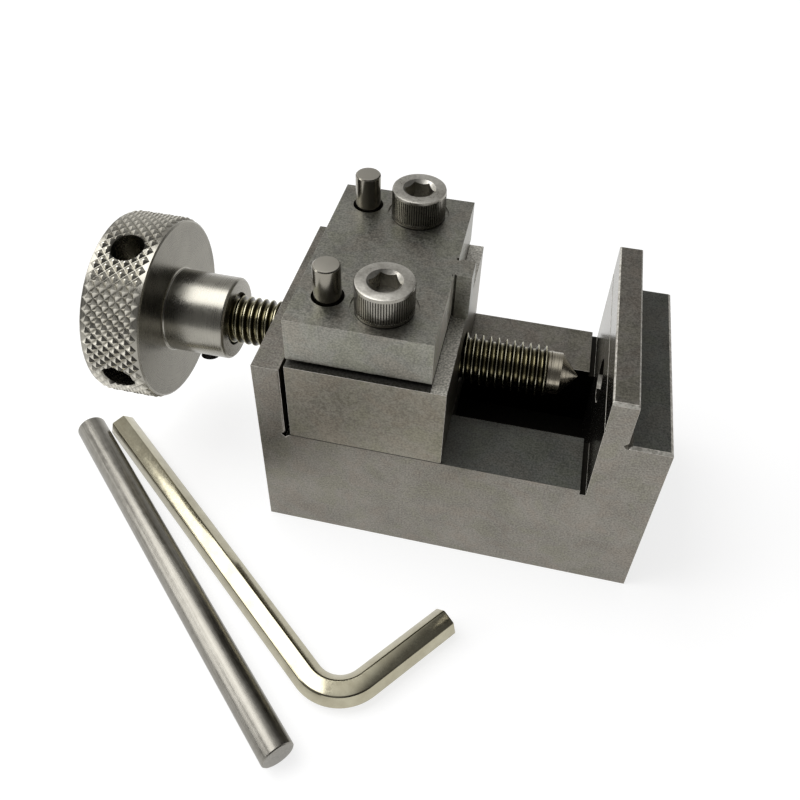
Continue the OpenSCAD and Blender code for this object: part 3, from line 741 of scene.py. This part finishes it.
# From the band's open ends the turned profile goes on to the bore, each point a reach along the
# axis from the last one and a radius. It has a fillet at the hub's foot, a rounded end on the
# hub, and a recess there round the screw.
hub_l = hub_end_x - face_x - rim_w
hub_profile = [
    (0.12 * MM, pit_r), (hub_side_bevel - 0.12 * MM, pit_r - hub_side_bevel),
    (0.0, hub_r + 0.3 * MM), (0.1 * MM, hub_r + 0.1 * MM), (0.2 * MM, hub_r),
    (hub_l - 0.7 * MM, hub_r), (0.15 * MM, hub_r - 0.06 * MM), (0.25 * MM, hub_r - 0.35 * MM),
    (0.0, bore_r + 0.4 * MM), (-1.2 * MM, bore_r + 0.3 * MM), (0.0, bore_r)]
face_profile = [
    (0.0, pit_r), (-outer_edge, pit_r - outer_edge), (0.0, bore_r + 0.4 * MM),
    (0.4 * MM, bore_r), (1.6 * MM, bore_r)]
for end_x, profile in ((band_end, hub_profile), (band_start, face_profile)):
    pick(knob, "EDGE", lambda edge, points: all(abs(p.x - end_x) < 0.01 * MM for p in points))
    last = pit_r
    for reach, radius in profile:
        bpy.ops.mesh.extrude_region_move(TRANSFORM_OT_translate={"value": (reach, 0, 0)})
        bpy.ops.transform.resize(value=(1, radius / last, radius / last), center_override=(0, 0, axis_z))
        last = radius
    bpy.ops.mesh.edge_face_add()
    bpy.ops.object.mode_set(mode="OBJECT")
only(knob)
bpy.ops.object.mode_set(mode="EDIT")
bpy.ops.mesh.select_all(action="SELECT")
bpy.ops.mesh.remove_doubles(threshold=0.001 * MM)
face_outwards()
# The countersink starts mouth_depth below the crests and widens by mouth_flare
hole_r = 2.6 * MM
hole_depth = 9.5 * MM
hole_turn = 13.0
mouth_depth = 0.65 * MM
mouth_h = 1.2 * MM
mouth_flare = 0.8 * MM
drills = []
for number in range(4):
    # A straight drill with the countersink above it, as one closed cutter
    bpy.ops.object.select_all(action="DESELECT")
    bpy.ops.mesh.primitive_circle_add(vertices=64, radius=hole_r, fill_type="NGON")
    drill = bpy.context.object
    bpy.ops.object.mode_set(mode="EDIT")
    bpy.ops.mesh.select_all(action="SELECT")
    for reach, wider in ((hole_depth - mouth_depth, 1.0), (mouth_h, 1.0 + mouth_flare / hole_r),
                         (1.5 * MM, 1.0)):
        bpy.ops.mesh.extrude_region_move(TRANSFORM_OT_translate={"value": (0, 0, reach)})
        bpy.ops.transform.resize(value=(wider, wider, 1), center_override=(0, 0, 0))
    face_outwards()
    turn = Matrix.Rotation(math.radians(hole_turn + 90 * number), 4, "X")
    drill.data.transform(Matrix.Translation((face_x + rim_w / 2, 0, axis_z)) @ turn
                         @ Matrix.Translation((0, 0, knob_r - hole_depth)))
    drills.append(drill)
# The set screw's hole goes through the hub's wall
set_turn = math.radians(165.0)
set_hole_r = 1.55 * MM
outward = Vector((0, -math.sin(set_turn), math.cos(set_turn)))
middle = Vector((hub_end_x - hub_l / 2, 0, axis_z))
drills.append(make_rod(
    "drill", middle + outward * (crest_r - 1.0 * MM), middle + outward * (hub_r + 1.0 * MM),
    set_hole_r, 0.01 * MM, 48))
for drill in drills:
    carve(knob, drill, "DIFFERENCE")
bpy.ops.object.shade_smooth_by_angle(angle=math.radians(18))


def turned_stainless(name, dark, light, centre_z):
    """Stainless steel off the lathe: the tool leaves rings 0.08 mm apart round the axis, drawn
    here 0.2 mm apart so that they show. The knurl is painted darker in its pits as shade and up to
    1.8 times lighter on its points as highlights."""
    material, tree, place = new_material(name)
    centred = add_node(tree, "ShaderNodeMapping", links={
        "Vector": place, "Location": (0, 0, -centre_z)})
    apart = add_node(tree, "ShaderNodeSeparateXYZ", links={0: centred.outputs[0]})
    flat = add_node(tree, "ShaderNodeCombineXYZ", links={
        "Y": apart.outputs["Y"], "Z": apart.outputs["Z"]})
    reach = add_node(tree, "ShaderNodeVectorMath", {"operation": "LENGTH"}, {0: flat.outputs[0]})
    rings = add_node(tree, "ShaderNodeCombineXYZ", links={
        "X": apart.outputs["X"], "Y": reach.outputs["Value"]})
    lathe = add_node(tree, "ShaderNodeTexNoise", links={
        "Vector": rings.outputs[0], "Scale": 5000.0, "Detail": 3.0, "Roughness": 0.7})
    patch = add_node(tree, "ShaderNodeTexNoise", links={
        "Vector": place, "Scale": 300.0, "Detail": 3.0, "Roughness": 0.6})
    mix = add_node(tree, "ShaderNodeMath", {"operation": "MULTIPLY_ADD"}, {
        0: lathe.outputs["Fac"], 1: 0.55, 2: 0.0})
    mix = add_node(tree, "ShaderNodeMath", {"operation": "MULTIPLY_ADD"}, {
        0: patch.outputs["Fac"], 1: 0.45, 2: mix.outputs[0]})
    colour = add_node(tree, "ShaderNodeValToRGB", links={"Fac": mix.outputs[0]})
    set_ramp(colour, [(0.35, dark), (0.65, light)])
    # A factor on the colour: painted shade in the knurl's pits and painted highlight on its points
    pits = add_node(tree, "ShaderNodeMapRange", links={
        "Value": reach.outputs["Value"], "From Min": pit_r - 0.05 * MM, "From Max": pit_r + 0.25 * MM,
        "To Min": 0.9, "To Max": 1.8})
    rim_only = add_node(tree, "ShaderNodeMath", {"operation": "GREATER_THAN"}, {
        0: reach.outputs["Value"], 1: pit_r - 0.2 * MM})
    shade = add_node(tree, "ShaderNodeMix", {"data_type": "FLOAT"}, {
        0: rim_only.outputs[0], 2: 1.0, 3: pits.outputs[0]})
    knurl_painted_shade = add_node(tree, "ShaderNodeMix", {"data_type": "RGBA", "blend_type": "MULTIPLY"}, {
        0: 1.0, 6: colour.outputs["Color"], 7: shade.outputs[0]})
    rough = add_node(tree, "ShaderNodeMapRange", links={
        "Value": mix.outputs[0], "From Min": 0.3, "From Max": 0.7, "To Min": 0.20, "To Max": 0.36})
    bump = add_node(tree, "ShaderNodeBump", links={
        "Height": lathe.outputs["Fac"], "Strength": 0.2, "Distance": 0.02 * MM})
    shader = add_node(tree, "ShaderNodeBsdfPrincipled", links={
        "Base Color": knurl_painted_shade.outputs[2], "Metallic": 1.0, "Roughness": rough.outputs[0],
        "Normal": bump.outputs[0]})
    add_node(tree, "ShaderNodeOutputMaterial", links={"Surface": shader.outputs[0]})
    return material


for name, dark, light in (("lathe turned stainless steel with painted knurl shade", "#8d8a82", "#a9a69c"),
                          ("faced side of the rim painted darker as shade", "#716e66", "#8b887e")):
    knob.data.materials.append(turned_stainless(name, dark, light, axis_z))
TURNED, SHADED_RIM_SIDE = 0, 1
# The faced side of the rim is a darker copy of the turned steel: painted shade
for face in knob.data.polygons:
    on_rim_side = face.normal.x > 0.9 and face.center.x < face_x + rim_w + 1 * MM
    face.material_index = SHADED_RIM_SIDE if on_rim_side else TURNED
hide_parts("knob")
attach(knob, "screw")


# Knob set screw: a small socket set screw with black oxide. It clamps the hub on the screw.
repaint("knob_set_screw", plain_turned_steel("black oxide set screw", "#191817", 0.4))


# Tommy bar: a loose length of drawn steel bar, brushed along its length, with its ends turned
# flat. It goes in a hole of the knob's rim for leverage.
bar_r = 2.5 * MM
bar_l = 70.0 * MM
bar_turn = math.radians(-42.2)
bar_end = Vector((-67.3 * MM, -9.2 * MM, bar_r))
bar_way = Vector((math.cos(bar_turn), math.sin(bar_turn), 0))
bar = make_rod("brushed_tommy_bar", bar_end, bar_end + bar_way * bar_l, bar_r, 0.35 * MM)


def brushed_bar(name, turn):
    """Drawn bar brushed with a belt along its length: streaks 0.3 mm wide and some 11 mm long,
    coarser than the real ones so that they show."""
    material, tree, place = new_material(name)
    along = add_node(tree, "ShaderNodeMapping", {"vector_type": "TEXTURE"}, {
        "Vector": place, "Rotation": (0, 0, turn), "Scale": (40.0, 1.0, 1.0)})
    streaks = add_node(tree, "ShaderNodeTexNoise", links={
        "Vector": along.outputs[0], "Scale": 3500.0, "Detail": 3.0, "Roughness": 0.65})
    patch = add_node(tree, "ShaderNodeTexNoise", links={
        "Vector": place, "Scale": 900.0, "Detail": 3.0})
    mix = add_node(tree, "ShaderNodeMath", {"operation": "MULTIPLY_ADD"}, {
        0: streaks.outputs["Fac"], 1: 0.7, 2: 0.0})
    mix = add_node(tree, "ShaderNodeMath", {"operation": "MULTIPLY_ADD"}, {
        0: patch.outputs["Fac"], 1: 0.3, 2: mix.outputs[0]})
    colour = add_node(tree, "ShaderNodeValToRGB", links={"Fac": mix.outputs[0]})
    set_ramp(colour, [(0.35, "#7c7972"), (0.65, "#9b9890")])
    rough = add_node(tree, "ShaderNodeMapRange", links={
        "Value": mix.outputs[0], "From Min": 0.3, "From Max": 0.7, "To Min": 0.26, "To Max": 0.40})
    bump = add_node(tree, "ShaderNodeBump", links={
        "Height": streaks.outputs["Fac"], "Strength": 0.25, "Distance": 0.02 * MM})
    shader = add_node(tree, "ShaderNodeBsdfPrincipled", links={
        "Base Color": colour.outputs["Color"], "Metallic": 1.0, "Roughness": rough.outputs[0],
        "Normal": bump.outputs[0]})
    add_node(tree, "ShaderNodeOutputMaterial", links={"Surface": shader.outputs[0]})
    return material


bar.data.materials.append(brushed_bar("belt brushed steel bar", bar_turn))
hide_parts("tommy_bar")
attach(bar, "bar")


# Hex key: a 4 mm hexagon bar, bent hot round a former and nickel plated, so that its flats stay
# and its corners are slightly rounded. It fits the sockets of the two cap screws.
key_af = 4.0 * MM
key_bend = 6.0 * MM
# The straight stretches of the long arm, 68.5 mm outside, and of the short one, 23.5 mm
key_long = 68.5 * MM - key_af / 2 - key_bend
key_short = 23.5 * MM - key_af / 2 - key_bend
key_turn = math.radians(-38.4)
# The bar was bent with its flats a little askew, so the upper flat leans to the front
key_roll = 16.0
lowest = math.sin(math.radians(60 + key_roll))
key_end = Vector((-62.3 * MM, -7.1 * MM, key_af / math.sqrt(3) * lowest))
bpy.ops.object.select_all(action="DESELECT")
bpy.ops.mesh.primitive_circle_add(
    vertices=6, radius=key_af / math.sqrt(3), fill_type="NGON", rotation=(0, math.radians(90), 0))
key = bpy.context.object
key.name = key.data.name = "nickel_hex_key"
bpy.ops.object.transform_apply(location=True, rotation=True, scale=True)
bpy.ops.object.mode_set(mode="EDIT")
bpy.ops.mesh.select_mode(type="FACE")
bpy.ops.mesh.select_all(action="SELECT")
bpy.ops.transform.rotate(value=math.radians(30 + key_roll), orient_axis="X", orient_type="GLOBAL",
                         center_override=(0, 0, 0))
bpy.ops.mesh.extrude_region_move(TRANSFORM_OT_translate={"value": (key_long, 0, 0)})
bpy.ops.mesh.spin(steps=24, angle=math.radians(90), center=(key_long, key_bend, 0), axis=(0, 0, -1))
bpy.ops.mesh.extrude_region_move(TRANSFORM_OT_translate={"value": (0, key_short, 0)})
bpy.ops.mesh.select_all(action="SELECT")
bpy.ops.mesh.remove_doubles(threshold=0.001 * MM)
face_outwards()
key.data.transform(Matrix.Translation(key_end) @ Matrix.Rotation(key_turn, 4, "Z"))
round_corners = key.modifiers.new("rounded corners", "BEVEL")
round_corners.width = 0.22 * MM
round_corners.segments = 3
round_corners.limit_method = "ANGLE"
round_corners.angle_limit = math.radians(40)
only(key)
bpy.ops.object.modifier_apply(modifier=round_corners.name)
bpy.ops.object.shade_smooth_by_angle(angle=math.radians(50))


def nickel_plated(name):
    """Bright nickel: a warm mirror over the drawn bar's slight waves, 2 mm apart, with a few fine
    pits 0.25 mm wide."""
    material, tree, place = new_material(name)
    waves = add_node(tree, "ShaderNodeTexNoise", links={
        "Vector": place, "Scale": 500.0, "Detail": 2.0})
    pits = add_node(tree, "ShaderNodeTexNoise", links={
        "Vector": place, "Scale": 4000.0, "Detail": 2.0})
    rough = add_node(tree, "ShaderNodeMapRange", links={
        "Value": pits.outputs["Fac"], "From Min": 0.35, "From Max": 0.7, "To Min": 0.10, "To Max": 0.22})
    bump = add_node(tree, "ShaderNodeBump", links={
        "Height": waves.outputs["Fac"], "Strength": 0.10, "Distance": 0.05 * MM})
    colour = add_node(tree, "ShaderNodeValToRGB", links={"Fac": waves.outputs["Fac"]})
    set_ramp(colour, [(0.3, "#a6a08a"), (0.7, "#b5b09a")])
    shader = add_node(tree, "ShaderNodeBsdfPrincipled", links={
        "Base Color": colour.outputs["Color"], "Metallic": 1.0, "Roughness": rough.outputs[0],
        "Normal": bump.outputs[0]})
    add_node(tree, "ShaderNodeOutputMaterial", links={"Surface": shader.outputs[0]})
    return material


key.data.materials.append(nickel_plated("bright nickel plate"))
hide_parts("hex_key")
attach(key, "key")


# Studio: a white sheet under the tool, a soft box above and one at the left, and a room that is
# bright at the horizon and overhead and dim between, which ground steel shows as its grey.
bpy.ops.object.select_all(action="DESELECT")
bpy.ops.mesh.primitive_plane_add(size=6.0, location=(0, 0, -0.02 * MM))
floor = bpy.context.object
floor.name = "floor"
floor_paper = bpy.data.materials.new("white paper floor")
floor_paper.use_nodes = True
tree = floor_paper.node_tree
tree.nodes.clear()
# The eye and the mirrors see the sheet lifted to white, and it lights the tool as grey paper
rays = add_node(tree, "ShaderNodeLightPath")
seen = add_node(tree, "ShaderNodeMath", {"operation": "MAXIMUM"}, {
    0: rays.outputs["Is Camera Ray"], 1: rays.outputs["Is Glossy Ray"]})
seen = add_node(tree, "ShaderNodeMath", {"operation": "MAXIMUM"}, {
    0: seen.outputs[0], 1: rays.outputs["Is Transmission Ray"]})
lift = add_node(tree, "ShaderNodeMath", {"operation": "MULTIPLY"}, {0: seen.outputs[0], 1: 0.77})
paper = add_node(tree, "ShaderNodeBsdfPrincipled", links={
    "Base Color": linear("#a2a2a2"), "Roughness": 0.9, "Specular IOR Level": 0.0,
    "Emission Color": (1.0, 1.0, 1.0, 1.0), "Emission Strength": lift.outputs[0]})
add_node(tree, "ShaderNodeOutputMaterial", links={"Surface": paper.outputs[0]})
floor.data.materials.append(floor_paper)

world = bpy.data.worlds.new("studio room")
bpy.context.scene.world = world
world.use_nodes = True
tree = world.node_tree
tree.nodes.clear()
way = add_node(tree, "ShaderNodeTexCoord")
parts = add_node(tree, "ShaderNodeSeparateXYZ", links={0: way.outputs["Generated"]})
room = add_node(tree, "ShaderNodeValToRGB", links={"Fac": parts.outputs["Z"]})
set_ramp(room, [(0.0, "#d7d7d7"), (0.26, "#c4c4c3"), (0.45, "#b0afae"), (0.58, "#a3a2a1"),
                (0.72, "#9d9c9b"), (0.88, "#cccccc"), (1.0, "#ffffff")])
# The camera and whoever holds it are dark against the room in front
upward = add_node(tree, "ShaderNodeMapRange", links={
    "Value": parts.outputs["Y"], "From Min": -0.22, "From Max": -0.5, "To Min": 1.0, "To Max": 0.35})
# The window side is on the left, and the room's far right is dark
across = add_node(tree, "ShaderNodeMapRange", links={
    "Value": parts.outputs["X"], "From Min": -1.0, "From Max": 1.0})
sides = add_node(tree, "ShaderNodeValToRGB", links={"Fac": across.outputs[0]})
set_ramp(sides, [(0.22, "#ffffff"), (0.38, "#d4d4d4"), (0.5, "#ececec"), (0.58, "#d8d8d8"),
                 (0.68, "#727272"), (1.0, "#8a8a8a")])
side_level = add_node(tree, "ShaderNodeMath", {"operation": "MULTIPLY"}, {
    0: sides.outputs["Color"], 1: 1.35})
strength = add_node(tree, "ShaderNodeMath", {"operation": "MULTIPLY"}, {
    0: side_level.outputs[0], 1: upward.outputs[0]})
lit_room = add_node(tree, "ShaderNodeBackground", links={
    "Color": room.outputs["Color"], "Strength": strength.outputs[0]})
# Behind the floor the camera sees a plain white backdrop, and the steel still mirrors the room
backdrop = add_node(tree, "ShaderNodeBackground", links={"Color": linear("#ffffff"), "Strength": 1.0})
rays = add_node(tree, "ShaderNodeLightPath")
both = add_node(tree, "ShaderNodeMixShader", links={
    0: rays.outputs["Is Camera Ray"], 1: lit_room.outputs[0], 2: backdrop.outputs[0]})
add_node(tree, "ShaderNodeOutputWorld", links={"Surface": both.outputs[0]})


def soft_box(name, place, aim, size, power):
    """A soft box that faces a point."""
    data = bpy.data.lights.new(name, "AREA")
    data.shape = "RECTANGLE"
    data.size, data.size_y = size
    data.energy = power
    lamp = bpy.data.objects.new(name, data)
    bpy.context.collection.objects.link(lamp)
    lamp.location = place
    lamp.rotation_euler = (Vector(aim) - Vector(place)).to_track_quat("-Z", "Y").to_euler()
    return lamp


soft_box("overhead soft box", (-0.46, 0.03, 0.60), (-0.46, 0.03, 0), (0.66, 0.56), 3.5)
soft_box("left soft box", (-0.60, -0.25, 0.28), (0, 0, 0.02), (0.30, 0.30), 0.8)

bpy.context.scene.view_settings.view_transform = "Standard"
